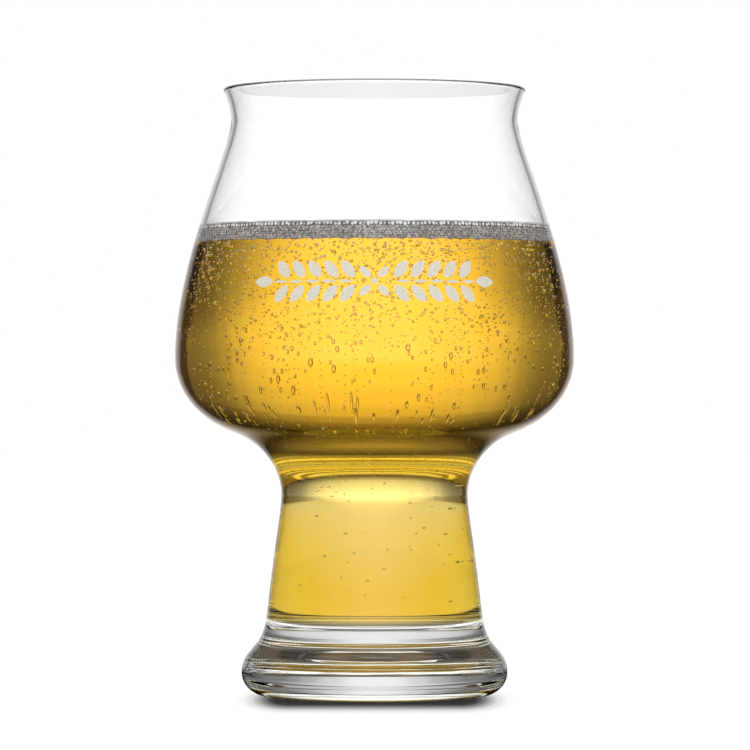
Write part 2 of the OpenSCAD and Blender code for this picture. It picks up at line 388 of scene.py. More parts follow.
def ball(sides, bands):
    """A round ball of radius 1 with few faces: a half circle carried round the axis."""
    lat = np.linspace(-math.pi / 2, math.pi / 2, bands + 1)
    return revolved(np.column_stack([np.cos(lat), np.sin(lat)]), sides)


# Materials

WHITE, BLACK = (1, 1, 1, 1), (0, 0, 0, 1)


def new_material(name):
    """A node material with its output and one principled shader."""
    mat = bpy.data.materials.new(name)
    mat.use_nodes = True
    shader = next(n for n in mat.node_tree.nodes if n.type == "BSDF_PRINCIPLED")
    return mat, mat.node_tree, shader


def link(tree, a, a_name, b, b_name):
    """Join two sockets of a node tree by their names."""
    tree.links.new(a.outputs[a_name], b.inputs[b_name])


def maths(tree, operation, a, b=None):
    """A maths node on numbers or sockets, as its output socket."""
    node = tree.nodes.new("ShaderNodeMath")
    node.operation = operation
    for socket, value in zip(node.inputs, (a, b)):
        if isinstance(value, (int, float)):
            socket.default_value = value
        elif value is not None:
            tree.links.new(value, socket)
    return node.outputs[0]


def ramp(tree, value, stops, between="EASE"):
    """Grey levels or colours at places along a value, eased or straight between them, as a colour socket."""
    node = tree.nodes.new("ShaderNodeValToRGB")
    node.color_ramp.interpolation = between
    elements = node.color_ramp.elements
    for _ in range(len(stops) - 2):
        elements.new(0.5)
    for element, (place, level) in zip(elements, stops):
        element.position = place
        element.color = (*np.broadcast_to(level, 3), 1)
    tree.links.new(value, node.inputs["Fac"])
    return node.outputs["Color"]


def mixed(tree, blend, factor, a, b):
    """A colour mix of two colours or sockets, as its output socket."""
    node = tree.nodes.new("ShaderNodeMix")
    node.data_type = "RGBA"
    node.blend_type = blend
    ends = [socket for socket in node.inputs if socket.type == "RGBA"]
    for socket, value in zip([node.inputs["Factor"], *ends], (factor, a, b)):
        if isinstance(value, (int, float, tuple)):
            socket.default_value = value
        else:
            tree.links.new(value, socket)
    return [socket for socket in node.outputs if socket.type == "RGBA"][0]


def times(tree, a, b):
    """One colour times another."""
    return mixed(tree, "MULTIPLY", 1.0, a, b)


def lighter(tree, a, b):
    """The lighter of two colours, channel by channel."""
    return mixed(tree, "LIGHTEN", 1.0, a, b)


def own_axes(tree, output):
    """The three parts of a kind of texture coordinate."""
    coords = tree.nodes.new("ShaderNodeTexCoord")
    axes = tree.nodes.new("ShaderNodeSeparateXYZ")
    link(tree, coords, output, axes, "Vector")
    return axes.outputs


def length_of(tree, x, y):
    """Length of a level vector, kept above nought so that it can divide."""
    squares = maths(tree, "ADD", maths(tree, "MULTIPLY", x, x), maths(tree, "MULTIPLY", y, y))
    return maths(tree, "MAXIMUM", maths(tree, "SQRT", squares), 0.0001)


def clouds(tree, scale):
    """A cloudy value from 0 to 1 on the piece's own coordinates, multiplied by a scale along each axis."""
    coords = tree.nodes.new("ShaderNodeTexCoord")
    mapping = tree.nodes.new("ShaderNodeMapping")
    mapping.inputs["Scale"].default_value = scale
    link(tree, coords, "Object", mapping, "Vector")
    noise = tree.nodes.new("ShaderNodeTexNoise")
    noise.inputs["Scale"].default_value = 1.0
    noise.inputs["Detail"].default_value = 2.0
    link(tree, mapping, "Vector", noise, "Vector")
    return noise.outputs["Fac"]


def bumped(tree, shader, height, depth):
    """Give a shader the slopes of a height, which is counted in depths of so many millimetres."""
    bump = tree.nodes.new("ShaderNodeBump")
    bump.inputs["Strength"].default_value = 1.0
    bump.inputs["Distance"].default_value = depth * MM
    tree.links.new(height, bump.inputs["Height"])
    link(tree, bump, "Normal", shader, "Normal")


def see_through(name, ior, tint=None, density=0.0):
    """A clear polished material. With a tint it takes out colour along the way through the piece, which only
    one material of a piece does."""
    mat, tree, shader = new_material(name)
    shader.inputs["Base Color"].default_value = WHITE
    shader.inputs["Roughness"].default_value = 0.0
    shader.inputs["IOR"].default_value = ior
    shader.inputs["Transmission Weight"].default_value = 1.0
    if tint:
        volume = tree.nodes.new("ShaderNodeVolumeAbsorption")
        volume.inputs["Color"].default_value = (*tint, 1)
        volume.inputs["Density"].default_value = density
        out = next(n for n in tree.nodes if n.type == "OUTPUT_MATERIAL")
        link(tree, volume, "Volume", out, "Volume")
    return mat, tree, shader


def clear_glass(name, ior, *tint):
    """Clear glass with level streaks in its thick foot and a hardly seen ripple all over, from its
    moulding."""
    mat, tree, shader = see_through(name, ior, *tint)
    _, _, z = own_axes(tree, "Object")
    in_foot = maths(tree, "LESS_THAN", z, STEM_H * MM)
    streak_depth = maths(tree, "MULTIPLY", in_foot, STREAK_DEPTH)
    streaks = maths(tree, "MULTIPLY", clouds(tree, STREAK_SCALE), streak_depth)
    ripple = maths(tree, "MULTIPLY", clouds(tree, RIPPLE_SCALE), RIPPLE_DEPTH)
    bumped(tree, shader, maths(tree, "ADD", streaks, ripple), 1.0)
    return mat


def froth_kept(tree):
    """The foam's colour at each point, with its painted highlights and shade, which is kept with its mesh."""
    node = tree.nodes.new("ShaderNodeAttribute")
    node.attribute_name = "froth"
    return node.outputs["Color"]


def foam_cells():
    """Wet foam: the colour kept with the mesh, painted highlights and shade included, with a little
    cloudy change of tone over it.
    """
    mat, tree, shader = new_material("foam")
    tone = ramp(tree, clouds(tree, FOAM_CLOUDS), FOAM_TONES)
    tree.links.new(times(tree, froth_kept(tree), tone), shader.inputs["Base Color"])
    shader.inputs["Roughness"].default_value = FOAM_ROUGHNESS
    return mat


def films(tree, width):
    """Distance from the nearest film between cells of a width, in cells."""
    coords = tree.nodes.new("ShaderNodeTexCoord")
    cells = tree.nodes.new("ShaderNodeTexVoronoi")
    cells.feature = "DISTANCE_TO_EDGE"
    cells.inputs["Scale"].default_value = 1 / (width * MM)
    link(tree, coords, "Object", cells, "Vector")
    return cells.outputs["Distance"]


def foam_from_above():
    """The top of the foam: swelling cells of two sizes with painted shade on the films between them, on the
    greys kept with the mesh."""
    mat, tree, shader = new_material("foam_top")
    large, small = [films(tree, width) for width in TOP_FILMS]
    # Painted shade on the films between the cells
    film_shade = mixed(tree, "MULTIPLY", SMALL_FILMS, ramp(tree, large, FILM_STOPS), ramp(tree, small, FILM_STOPS))
    tree.links.new(times(tree, froth_kept(tree), film_shade), shader.inputs["Base Color"])
    swell = mixed(tree, "ADD", SMALL_SWELLS, ramp(tree, large, SWELL_STOPS), ramp(tree, small, SWELL_STOPS))
    bumped(tree, shader, swell, SWELL)
    shader.inputs["Roughness"].default_value = FOAM_ROUGHNESS
    return mat


def underside(radius):
    """The foam seen from below: it glows with painted light that stands in for the light coming down through
    it, dimmer in front, in a ring and at its edge, with a little cloudy change of tone."""
    mat, tree, shader = new_material("foam_underside")
    x, y, _ = own_axes(tree, "Object")
    share = maths(tree, "DIVIDE", length_of(tree, x, y), radius)
    back = maths(tree, "ADD", 0.5, maths(tree, "DIVIDE", y, 2 * radius))
    from_front = mixed(tree, "MIX", ramp(tree, share, UNDER_FRONT), WHITE, ramp(tree, back, UNDER_BACK))
    light = times(tree, ramp(tree, share, UNDER_STOPS), from_front)
    tone = ramp(tree, clouds(tree, UNDER_CLOUDS), UNDER_TONES)
    shader.inputs["Base Color"].default_value = UNDER_GREY
    # Painted glow: emission that stands in for the light coming down through the foam
    tree.links.new(times(tree, times(tree, light, tone), UNDER_PAINTED_GLOW), shader.inputs["Emission Color"])
    shader.inputs["Emission Strength"].default_value = 1.0
    shader.inputs["Roughness"].default_value = FOAM_ROUGHNESS
    return mat


def enamel():
    """Pale fired enamel with a fine grain in its colour."""
    mat, tree, shader = new_material("enamel")
    colour = ramp(tree, clouds(tree, ENAMEL_GRAIN), ENAMEL_TONES, "LINEAR")
    tree.links.new(colour, shader.inputs["Base Color"])
    shader.inputs["Roughness"].default_value = ENAMEL_ROUGHNESS
    return mat


# The glass and its print

def make_glass():
    """Bowl, stem and foot in one: the line from the hollow under the foot up the outside, over the lip and
    down the inside to the floor, carried round the axis. The inside is wet below the drink's surface."""
    ring = np.array([[PUNT_D / 2, 0], [BASE_D / 2, 0]])
    dry_wall = below(INSIDE, GLASS_H, FILL_H)[1:]
    dry_line = joined(punt_line(), even(ring), OUTSIDE[::-1], lip_line()[::-1], dry_wall)
    dry = thinned(dry_line, DRY_POINTS)
    wet = thinned(below(INSIDE, FILL_H), WET_POINTS)
    line = joined(dry, wet)
    line[0, 0] = line[-1, 0] = 0
    verts, faces = revolved(line)
    # Faces come row by row from under the foot, and then the fans there and on the wet floor
    is_wet = np.arange(len(line) - 3) >= len(dry) - 2
    finish = np.repeat([*is_wet, False, True], TURNS)
    glass = [
        clear_glass("clear_glass", GLASS_IOR, GLASS_TINT, GLASS_DENSITY),
        clear_glass("wet_glass", GLASS_IOR / CIDER_IOR),
    ]
    add_piece("glass_body", verts * MM, faces, glass, "glass", finish)


def make_print():
    """The printed sprig: the model's own mesh in enamel."""
    sprig = bpy.data.objects["front_print"].data
    sprig.materials.clear()
    sprig.materials.append(enamel())


# The drink and its bubbles

def around(r, z, turn, size):
    """Centres and radii of bubbles from radii, heights and angles round the axis."""
    return np.column_stack([r * np.cos(turn), r * np.sin(turn), z, size])


def bubble_sizes(count, middle, spread=SIZE_SPREAD):
    """Radii scattered about a middle one by a bell curve of their logarithms."""
    sizes = middle * np.exp(spread * rng.standard_normal(count))
    return np.clip(sizes, SIZE_LEAST * middle, SIZE_MOST * middle)


def clinging(pick, size):
    """Radius and height of bubbles that cling to the inner wall at numbered points of its line: each centre
    lies one bubble's radius and a film of drink in from the wall."""
    inwards = pushed(INSIDE, -1.0) - INSIDE
    return INSIDE[pick] + inwards[pick] * (size + WALL_FILM)[:, None]


def on_wall(count, middle, low, high, lean, turns=(0, TAU)):
    """Bubbles that cling to the wall between two heights and two angles, more of them higher up by the power
    lean."""
    r, z = INSIDE.T
    crowd = r * np.clip((z - low) / (high - low), 0, 1) ** lean
    weight = np.where((z > low) & (z < high), crowd, 0)
    pick = rng.choice(len(z), count, p=weight / weight.sum())
    size = bubble_sizes(count, middle)
    centre = clinging(pick, size)
    return around(centre[:, 0], centre[:, 1], rng.uniform(*turns, count), size)


def in_drink(count, middle, low, high, lean):
    """Bubbles anywhere in the drink between two heights, more of them higher up by the power lean."""
    z = low + (high - low) * rng.random(count) ** (1 / (1 + lean))
    size = bubble_sizes(count, middle)
    reach = inside_radius(z) - size - OFF_WALL
    return around(reach * np.sqrt(rng.random(count)), z, rng.random(count) * TAU, size)


def streams(count, beads, middle):
    """Trains of bubbles that rise straight up from the front of the lower wall, swelling and drawing apart
    on the way."""
    k = np.arange(beads)
    start = rng.uniform(STREAM_LOW, STREAM_HIGH, count)
    rise = start[:, None] + rng.uniform(*STREAM_GAPS, count)[:, None] * k * (1 + STREAM_GROWTH * k)
    swell = STREAM_START + (1 - STREAM_START) * k / beads
    size = middle * rng.uniform(*STREAM_SIZES, count)[:, None] * swell
    r = (inside_radius(start) - STREAM_INSET)[:, None] + rng.normal(0, STREAM_WAVER, (count, beads))
    turn = rng.uniform(*FRONT, count)[:, None] + rng.normal(0, STREAM_SWAY, (count, beads))
    r, z, turn, size = [part.ravel() for part in (r, rise, turn, size)]
    kept = (z < FILL_H - STREAM_END) & (r < inside_radius(z) - size - STREAM_CLEAR)
    return around(r, z, turn, size)[kept]


def clumped(bubbles):
    """The bubbles that are left when the sum of a few slow waves takes away a share of them in patches."""
    place = bubbles[:, :3]
    wave = sum(np.sin((place / np.array(reach)).sum(axis=1) + start) for reach, start in CLUMP_WAVES)
    return bubbles[wave > np.quantile(wave, CLUMP_SHARE)]


def near(bubbles):
    """The bubbles that don't lie low on the far side, where the drink would stretch them into level
    streaks."""
    return bubbles[(bubbles[:, 1] < CLEAR_BEHIND) | (bubbles[:, 2] > CLEAR_H)]


def drawn_out(count):
    """Bubbles drawn out where they let go of the front of the lower wall. The lower tip clings to the wall,
    and the axis leans out by a set angle. Gives the bubbles and their half lengths."""
    heights = INSIDE[:, 1]
    pick = rng.choice(np.flatnonzero((heights > DRAWN_LOW) & (heights < DRAWN_HIGH)), count)
    size = bubble_sizes(count, DRAWN_SIZE, DRAWN_SPREAD)
    half = size * rng.uniform(*DRAWN_LENGTHS, count)
    centre = clinging(pick, size) + leaning(DRAWN_LEAN) * half[:, None]
    return around(centre[:, 0], centre[:, 1], rng.uniform(*FRONT, count), size), half


def drawn_axes(bubbles):
    """Three unit vectors of each drawn-out bubble: across in its own upright plane, sideways and along
    it."""
    turn = np.arctan2(bubbles[:, 1], bubbles[:, 0])
    c, s, nought = np.cos(turn), np.sin(turn), 0 * turn
    lean_out, lean_up = leaning(DRAWN_LEAN)
    across = np.column_stack([lean_up * c, lean_up * s, nought - lean_out])
    along = np.column_stack([lean_out * c, lean_out * s, nought + lean_up])
    return across, np.column_stack([-s, c, nought]), along


def guards(drawn, half):
    """Balls in a row along each drawn-out bubble, which take up its room."""
    along = half[:, None] * drawn_axes(drawn)[2]
    steps = np.linspace(-GUARD_REACH, GUARD_REACH, GUARDS)[None, :, None] * along[:, None, :]
    sizes = np.tile(drawn[:, None, 3:], (1, GUARDS, 1))
    return np.concatenate([drawn[:, None, :3] + steps, sizes], axis=2).reshape(-1, 4)


def apart(bubbles, first):
    """The bubbles that touch no bubble earlier in the list, without the first few."""
    place = bubbles[:, :3]
    square = (place**2).sum(axis=1)
    gap = square[:, None] + square[None, :] - 2 * place @ place.T
    touch = gap < (APART * (bubbles[:, None, 3] + bubbles[None, :, 3])) ** 2
    return bubbles[first:][~np.tril(touch, -1).any(axis=1)[first:]]


def all_bubbles(drawn, half):
    """Every other bubble in the drink, clear of the drawn-out ones: dense under the head and thinner below,
    with trains, fine ones round the throat and a few in the stem."""
    return apart(np.vstack([
        guards(drawn, half),
        streams(STREAMS, STREAM_BEADS, STREAM_SIZE),
        on_wall(*BELLY_LARGE, FRONT),
        on_wall(*FRONT_WALL, FRONT),
        near(clumped(on_wall(*WHOLE_WALL))),
        near(clumped(in_drink(*LOOSE))),
        on_wall(*BELLY_SMALL, FRONT),
        on_wall(*THROAT_FINE),
        on_wall(*STEM_FEW),
    ]), GUARDS * len(drawn))


def hollows(centres, shape, sides, bands):
    """Balls with their faces turned inwards: the three parts of each point of a ball times the three vectors
    of each shape, plus each centre."""
    verts, faces = ball(sides, bands)
    places = centres[:, None, :] + np.einsum("vk,bkx->bvx", verts, shape)
    starts = len(verts) * np.arange(len(centres))[:, None, None]
    turned = [(part[None, :, ::-1] + starts).reshape(-1, part.shape[1]) for part in faces]
    return places.reshape(-1, 3), turned


def all_hollows():
    """The hollows of every bubble: round or tall ones with fewer faces the smaller they are, and drawn-out
    ones."""
    drawn, half = drawn_out(DRAWN_COUNT)
    others = all_bubbles(drawn, half)
    across, aside, along = drawn_axes(drawn)
    stretched = np.stack([across * drawn[:, 3:], aside * drawn[:, 3:], along * half[:, None]], axis=1)
    z, size = others[:, 2], others[:, 3]
    tall = np.interp(z, [TALL_LOW, TALL_HIGH], [TALL_MOST, 1.0])
    shape = size[:, None, None] * np.eye(3)
    shape[:, 2, 2] *= np.where((z > TALL_LOW) & (size > TALL_SIZE), tall, 1.0)
    which = np.searchsorted([limit for limit, _ in BALLS], size)
    parts = [
        hollows(others[which == k, :3], shape[which == k], *facing)
        for k, (_, facing) in enumerate(BALLS)
    ]
    return parts + [hollows(drawn[:, :3], stretched, *BALLS[-1][1])]


def make_cider():
    """The drink: the inside line from the middle of the floor to the fill height, then level to the axis,
    carried round it, with its bubbles as hollows in the same mesh."""
    wall = thinned(below(pushed(INSIDE, WETTING), FILL_H)[::-1], DRINK_POINTS)
    line = np.vstack([wall, [[wall[-1, 0] * SURFACE_RING, FILL_H]], [[0, FILL_H]]])
    line[0, 0] = 0
    verts, faces = revolved(line)
    # Faces come row by row from the floor, and then the fans there and in the middle of the surface
    at_glass = np.arange(len(line) - 3) < len(wall) - 2
    finish = np.repeat([*at_glass, True, False], TURNS)
    for hollow_verts, hollow_faces in all_hollows():
        faces += [part + len(verts) for part in hollow_faces]
        verts = np.vstack([verts, hollow_verts])
    finish = np.append(finish, np.zeros(sum(len(part) for part in faces) - len(finish)))
    cider = [
        see_through("cider", CIDER_IOR)[0],
        see_through("cider_at_glass", 1.0, CIDER_TINT, CIDER_DENSITY)[0],
    ]
    add_piece("cider_drink", verts * MM, faces, cider, "cider", finish)


# The foam

def cell_domes(u, v, across, round_count=None, astray=STRAY):
    """Height from 0 to 1 of round cells at places (u, v), and a random number for each cell. The centres
    stand in rows, every other row half a cell along, and stray a little; the nearest one gives 1 minus its
    distance squared, in reaches of a cell. With round_count the rows close up after that many cells along
    u."""
    row = np.floor(v / (across * ROW_PITCH)).astype(int)
    along = np.floor(u / across).astype(int)
    # A few more rows and columns than there are places, so that every neighbour has a centre
    low, left = row.min() - 1, 0 if round_count else along.min() - 3
    columns = round_count or along.max() - left + 3
    stray = rng.uniform(-astray, astray, (columns, row.max() - low + 2, 2))
    mark = rng.random(stray.shape[:2])
    best, kind = np.full(u.shape, math.inf), np.zeros(u.shape)
    for j in (row - 1, row, row + 1):
        half = 0.5 * (j % 2)
        column = np.floor(u / across - half).astype(int)
        for i in (column - 1, column, column + 1):
            at = (i - left) % columns, j - low
            du = (i + 0.5 + half + stray[at][..., 0]) * across - u
            dv = (j + 0.5 + stray[at][..., 1]) * across * ROW_PITCH - v
            d = np.hypot(du, dv)
            nearer = d < best
            best, kind = np.where(nearer, d, best), np.where(nearer, mark[at], kind)
    return np.clip(1 - (best / (CELL_REACH * across)) ** 2, 0, 1), kind


def cells_round(a, v, girth, across):
    """Cells on a band: angles and heights, how long the band is, and the width of a cell."""
    count = int(girth / across)
    return cell_domes(a * count * across / TAU + 0 * v, v, across, count)


def tinted(grey, brown):
    """The foam's slightly warm grey; browner where brown is near 1."""
    loss = BROWN_LOSS * np.asarray(brown)[..., None]
    return np.asarray(grey)[..., None] * FOAM_TINT * (1 - loss)


def froth_colour(dome, kind, brown=0.0):
    """Painted shade on the films round cells and a painted highlight in their middles, some brighter than
    others; browner where brown is near 1."""
    bright = CELL_GREYS[0] + (CELL_GREYS[1] - CELL_GREYS[0]) * kind
    # Painted shade on the films rising to a painted highlight in the middle of each cell
    grey = FILM_SHADE + (bright - FILM_SHADE) * np.clip((dome - FILM_EDGE) / FILM_SOFT, 0, 1)
    return tinted(grey, brown)


def stitched(fine, coarse):
    """Triangles between a ring and one with a fraction of its points: each coarse side carries the fine
    points up to its middle on its first end and the others on its second."""
    split = len(fine) // len(coarse)
    starts, middle = np.arange(0, len(fine), split), (split + 1) // 2
    p, q = coarse, np.roll(coarse, -1)
    steps = [fine[(starts + k) % len(fine)] for k in range(split + 1)]
    fans = [(p if k < middle else q, steps[k], steps[k + 1]) for k in range(split)]
    return np.vstack([np.column_stack(t) for t in fans + [(p, steps[middle], q)]])


def foam_side():
    """Points, colours and lowest radii of the side: the inner wall's radius at each height and angle, less
    the depth of its cells. From the bottom these are rows of small cells, one row of pearls with painted
    highlights and painted shade round them, and a plain rim. The lower edge is a sum of waves, and the upper
    one dips where the product of two waves is high."""
    fine = FOAM_SPLIT * FOAM_TURNS
    a = np.arange(fine) * TAU / fine
    t = np.linspace(0, 1, SIDE_ROWS)[:, None]
    wave = sum(height * np.sin(number * a + start) for height, number, start in LOW_WAVES)
    dip = math.prod(np.sin(number * a + start) for number, start in DIP_WAVES)
    low = FILL_H - LOW_LAP + wave
    high = FOAM_H - HIGH_DROP - RIM_DIP * np.clip(dip - DIP_LEVEL, 0, 1)
    z = low + (high - low) * t
    wall = inside_radius(z)
    girth = TAU * inside_radius(FILL_H + FOAM_T / 2)
    rim_low = FOAM_H - RIM_T
    pearl_low = rim_low - PEARL_CELL * ROW_PITCH
    dome, kind = cells_round(a, z, girth, SIDE_CELL)
    pearl, pearl_kind = cells_round(a, z - pearl_low, girth, PEARL_CELL)
    brown = sum(most * np.clip(start - fall * t, 0, 1) for most, start, fall in BROWNS) + 0 * a
    # Painted highlights on the pearls, with painted shade round them
    highlight_spots = np.clip((pearl - PEARL_EDGE - PEARL_UNLIKE * pearl_kind) / PEARL_SOFT, 0, 1)
    pearl_shading = PEARL_SHADE + (PEARL_HIGHLIGHT - PEARL_SHADE) * highlight_spots
    top_colour = tinted(np.where(z > rim_low, RIM_GREY, pearl_shading), 0 * z)
    colour = np.where((z > pearl_low)[..., None], top_colour, froth_colour(dome, kind, brown))
    dome = np.where(z > rim_low, RIM_DOME, np.where(z > pearl_low, pearl, dome))
    r = wall + FOAM_GRIP - SIDE_DEPTH * (1 - dome)
    points = np.stack([r * np.cos(a), r * np.sin(a), z], axis=2).reshape(-1, 3)
    return points, colour.reshape(-1, 3), wall[0]


def foam_top():
    """Points and colours of the top: rings that close in on the axis, drawn up by a square curve at the wall
    and raised by gentle swells, with painted shade darkening the hollows between them."""
    b = np.arange(FOAM_TURNS) * TAU / FOAM_TURNS
    edge = inside_radius(FOAM_H)
    reach = (edge - TOP_INSET) * np.linspace(1, 0, TOP_ROWS + 1)[:-1, None] ** TOP_CROWDING
    x, y = reach * np.cos(b), reach * np.sin(b)
    dome, kind = cell_domes(x, y, TOP_CELL, astray=TOP_STRAY)
    climb = np.clip(1 - (edge - reach) / CLIMB_W, 0, 1) ** 2
    z = FOAM_H - TOP_DROP - FOAM_CLIMB * (1 - climb) - TOP_DEPTH * (1 - dome)
    # Painted shade: hollows between swells are darker, with a random tone for each cell
    grey = TOP_GREYS[0] + (TOP_GREYS[1] - TOP_GREYS[0]) * (dome + kind) / 2
    return np.stack([x, y, z], axis=2).reshape(-1, 3), tinted(grey, 0 * grey).reshape(-1, 3)


def foam_edge(start):
    """Points, faces and colours of one row of round bubbles just inside the upper edge, each a ball with a
    painted highlight up and towards the wall. The faces count points from a start."""
    size = np.clip(EDGE_SIZE * np.exp(EDGE_SPREAD * rng.standard_normal(EDGE_COUNT)), *EDGE_SIZES)
    turn = np.arange(EDGE_COUNT) + rng.uniform(-EDGE_STRAY, EDGE_STRAY, EDGE_COUNT)
    turn = turn * TAU / EDGE_COUNT
    height = FOAM_H - EDGE_DROP - size - rng.uniform(0.0, EDGE_UNEVEN, EDGE_COUNT)
    beads = around(inside_radius(height) - size - EDGE_INSET, height, turn, size)
    template, template_faces = ball(*EDGE_BALL)
    points = (template[None] * beads[:, None, 3:] + beads[:, None, :3]).reshape(-1, 3)
    towards = np.column_stack([EDGE_OUT * np.cos(turn), EDGE_OUT * np.sin(turn), 0 * turn + EDGE_UP])
    # Painted highlight: brightest where the ball faces up and towards the wall
    look = np.clip((template[None] * towards[:, None, :]).sum(axis=2), 0, 1)
    dome = np.clip(EDGE_HIGHLIGHT * look**2 - EDGE_LESS, 0, 1)
    starts = start + len(template) * np.arange(EDGE_COUNT)[:, None, None]
    faces = [(part[None] + starts).reshape(-1, part.shape[1]) for part in template_faces]
    return points, faces, froth_colour(dome, 0 * look + 1).reshape(-1, 3)


def make_foam():
    """The head: a band of small cells against the wall, a level underside, a top of cells drawn up at its
    edge, and one row of round bubbles along that edge. Side, underside and top have a finish each."""
    side, side_colour, low_radius = foam_side()
    top, top_colour = foam_top()
    fine = FOAM_SPLIT * FOAM_TURNS
    b = np.arange(FOAM_TURNS) * TAU / FOAM_TURNS
    under, under_h = low_radius[::FOAM_SPLIT] * UNDER_SHARE, FILL_H - UNDER_LAP
    low_edge = np.column_stack([under * np.cos(b), under * np.sin(b), under_h + 0 * b])
    middles = np.array([[0, 0, top[-1, 2]], [0, 0, under_h]])
    verts = np.vstack([side, top, low_edge, middles])
    numbers = np.arange(len(verts))
    top_at, low_at = len(side), len(side) + len(top)
    middle_at = low_at + len(low_edge)
    first_top, last_top = numbers[top_at:top_at + FOAM_TURNS], numbers[low_at - FOAM_TURNS:low_at]
    low_ring = numbers[low_at:middle_at]
    beads, bead_faces, bead_colour = foam_edge(len(verts))
    faces = [
        ring_quads(SIDE_ROWS, fine),
        ring_quads(TOP_ROWS, FOAM_TURNS) + top_at,
        stitched(numbers[top_at - fine:top_at], first_top)[:, ::-1],
        stitched(numbers[:fine], low_ring),
        np.column_stack([last_top, np.roll(last_top, -1), np.full(FOAM_TURNS, middle_at)]),
        np.column_stack([np.roll(low_ring, -1), low_ring, np.full(FOAM_TURNS, middle_at + 1)]),
        *bead_faces,
    ]
    # The finish of each of these: 0 for the side and the beads, 1 for the underside and 2 for the top
    kinds = [0, 2, 0, 1, 2, 1] + [0] * len(bead_faces)
    finish = np.repeat(kinds, [len(part) for part in faces])
    foam = [foam_cells(), underside(under.max() * MM), foam_from_above()]
    verts = np.vstack([verts, beads])
    piece = add_piece("foam_head", verts * MM, faces, foam, "foam", finish)
    under_colour = np.full((len(low_edge) + len(middles), 3), CELL_GREYS[0])
    colour = np.vstack([side_colour, top_colour, under_colour, bead_colour])
    froth = piece.data.attributes.new("froth", "FLOAT_COLOR", "POINT")
    froth.data.foreach_set("color", np.column_stack([colour, np.ones(len(colour))]).ravel())


# Studio

# How many surfaces a ray has passed when it comes through the drink, at least, and through the empty bowl.
# Below half a bounce a ray is still sharp
DRINK_DEPTH, HOLLOW_DEPTH, SHARP_DEPTH = 4.5, 4.0, 0.5
# What glass sees: brightness by the share of a direction that points straight ahead or behind. The light at
# the sides ends between two shares, and the light ahead begins at one that depends on the distance. A little
# of both is left in the dark between them. Where distances are far, this many metres count as 1
FAR_UNIT = 2.0
ROUND_STOPS = [
    (0.0, 1.35), (0.15, 1.20), (0.24, 0.50), (0.34, 0.23), (0.74, 0.235), (0.775, 0.25), (0.82, 0.28),
    (0.857, 0.36), (0.891, 0.52), (0.9205, 0.79), (0.9455, 1.06), (0.974, 1.33), (1.0, 1.55),
]
DARK_LEFT = 0.13
SIDE_STOPS = [(0.22, 1.0), (0.34, DARK_LEFT)]
AHEAD_LIGHT = [(0.0, DARK_LEFT), (1.0, 1.0)]
PANEL_EDGES = [(0.35, 0.722), (0.50, 0.690), (0.80, 0.648)]
PANEL_SOFT, PANEL_FAR_EDGE = 0.028, 0.650
# Share of that which is left by the sine of the height above the horizon, and the glow of the ceiling
HEIGHT_STOPS = [
    (0.0, 1.0), (0.09, 0.88), (0.19, 0.72), (0.29, 0.56), (0.33, 0.34), (0.40, 0.16), (0.44, 0.09),
    (0.49, 0.03), (1.0, 0.03),
]
CEILING_STOPS = [(0.0, 0.0), (0.46, 0.02), (0.60, 0.20), (1.0, 0.26)]
# The same round about for rays through the foot alone, the golden glints there higher up, and where these
# begin by the sine of the height
FOOT_ROUND = [
    (0.0, 0.05), (0.50, 0.05), (0.643, 0.12), (0.766, 0.19), (0.848, 0.20), (0.89, 0.28), (0.94, 0.45),
    (0.978, 0.70), (1.0, 0.93),
]
FOOT_GLINTS = [
    (0.0, (0.11, 0.09, 0.06)), (0.77, (0.11, 0.09, 0.06)), (0.83, (0.05, 0.042, 0.03)),
    (0.94, (0.05, 0.045, 0.045)), (0.985, (0.17, 0.12, 0.06)), (1.0, (0.10, 0.07, 0.04)),
]
GLINT_STOPS = [(0.262, 0.0), (0.296, 1.0)]
# What dull surfaces see by direction, and how much brighter it is through the drink
DULL_STOPS = [(0.0, 0.50), (1.0, 1.15)]
DRINK_GLOW = (1.3, 1.6, 2.0, 1)
# Behind the drink: how bright the floor is by far distance straight ahead and to the sides, where one goes
# over into the other, a painted patch of light under the glass by the distance to either side, and the
# golden light on it by distance
FAR_AHEAD = [(0.0, 0.58), (0.17, 0.59), (0.23, 0.66), (0.30, 0.86), (0.36, 0.93), (0.50, 0.98)]
FAR_SIDES = [
    (0.0, 0.55), (0.25, 0.54), (0.35, 0.60), (0.425, 0.70), (0.50, 0.82), (0.60, 0.90), (0.80, 1.05),
]
AHEAD_STOPS = [(0.92, 0.0), (1.0, 1.0)]
NEAR_PATCH_STOPS = [(0.0, 0.92), (0.06, 0.89), (0.12, 0.84), (0.175, 0.76), (0.197, 0.50), (0.212, 0.0)]
GOLD_STOPS = [
    (0.0, (1, 0.86, 0.24)), (0.20, (1, 0.84, 0.20)), (0.25, (1, 0.89, 0.42)), (0.29, (1, 0.93, 0.60)),
    (0.36, (1, 0.97, 0.80)), (0.60, (1, 0.98, 0.86)), (0.75, 1.0),
]
# Close behind the foot: the light by the distance to either side, and how far back it reaches
FOOT_STOPS = [(0.0, 0.86), (0.004, 0.76), (0.0075, 0.60), (0.0113, 0.28), (0.020, 0.12), (0.035, 0.15)]
FOOT_REACH = [(0.0, 1.0), (0.10, 1.0), (0.13, 0.0)]
